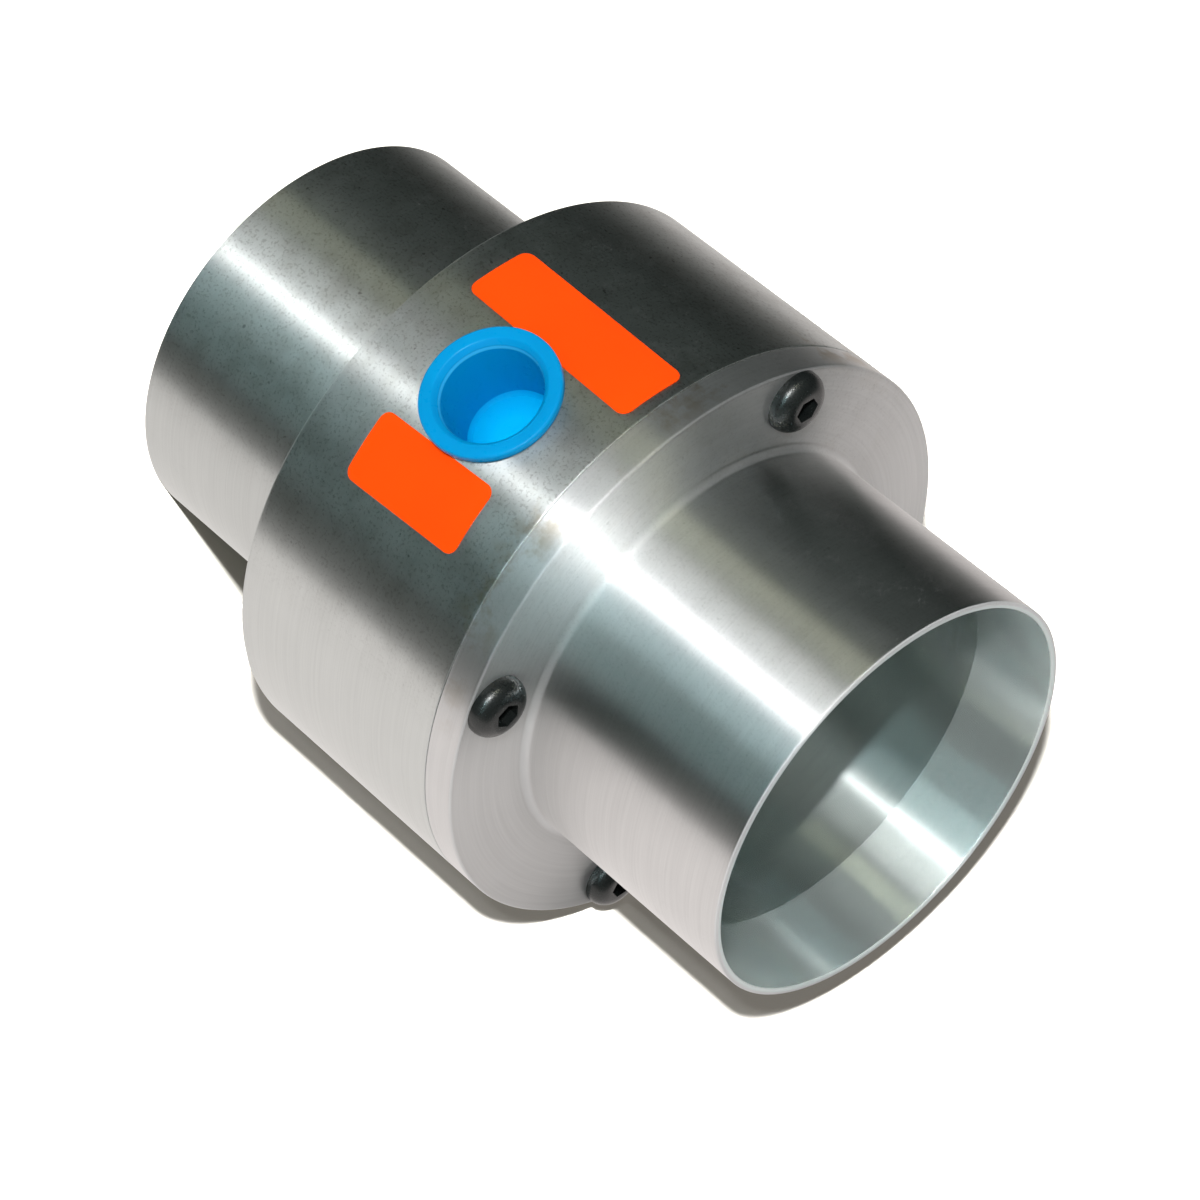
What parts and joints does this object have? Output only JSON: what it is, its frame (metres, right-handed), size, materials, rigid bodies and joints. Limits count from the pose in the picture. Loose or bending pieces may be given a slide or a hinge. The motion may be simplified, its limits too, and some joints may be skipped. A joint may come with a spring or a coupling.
{
  "type": "air operated conveyor",
  "caption": "In-line air operated conveyor: a thick aluminium drum with a hose spigot at each end, a bolted end flange, and a side air port closed by a push-in plug.",
  "frame": {"origin": "centre of the rear spigot's rim, on the axis of the bore", "axes": "+Z along the bore from the rear spigot to the front one, +X out along the axis of the air port"},
  "size_m": [0.1095, 0.1076, 0.1435],
  "materials": {
    "drum_aluminium": "turned, with fine marks round the axis",
    "flange_aluminium": "turned, with fine marks round the axis",
    "ring_aluminium": "bored",
    "seal_rubber": "moulded",
    "black_steel": "black oxide",
    "blue_plastic": "soft gloss, moulded",
    "orange_film": "bare printed film"
  },
  "bodies": {
    "housing": {"drum_body": "drum_aluminium", "end_flange": "flange_aluminium", "nozzle_ring": "ring_aluminium", "ring_seal_front": "seal_rubber", "ring_seal_rear": "seal_rubber", "flange_seal": "seal_rubber", "button_screw_1": "black_steel", "button_screw_2": "black_steel", "button_screw_3": "black_steel", "button_screw_4": "black_steel"},
    "plug": {"port_plug": "blue_plastic"}
  },
  "joints": [
    {"name": "plug_pull", "type": "slide", "parent": "housing", "child": "plug", "axis": [1, 0, 0], "range_m": [0, 0.018]}
  ]
}
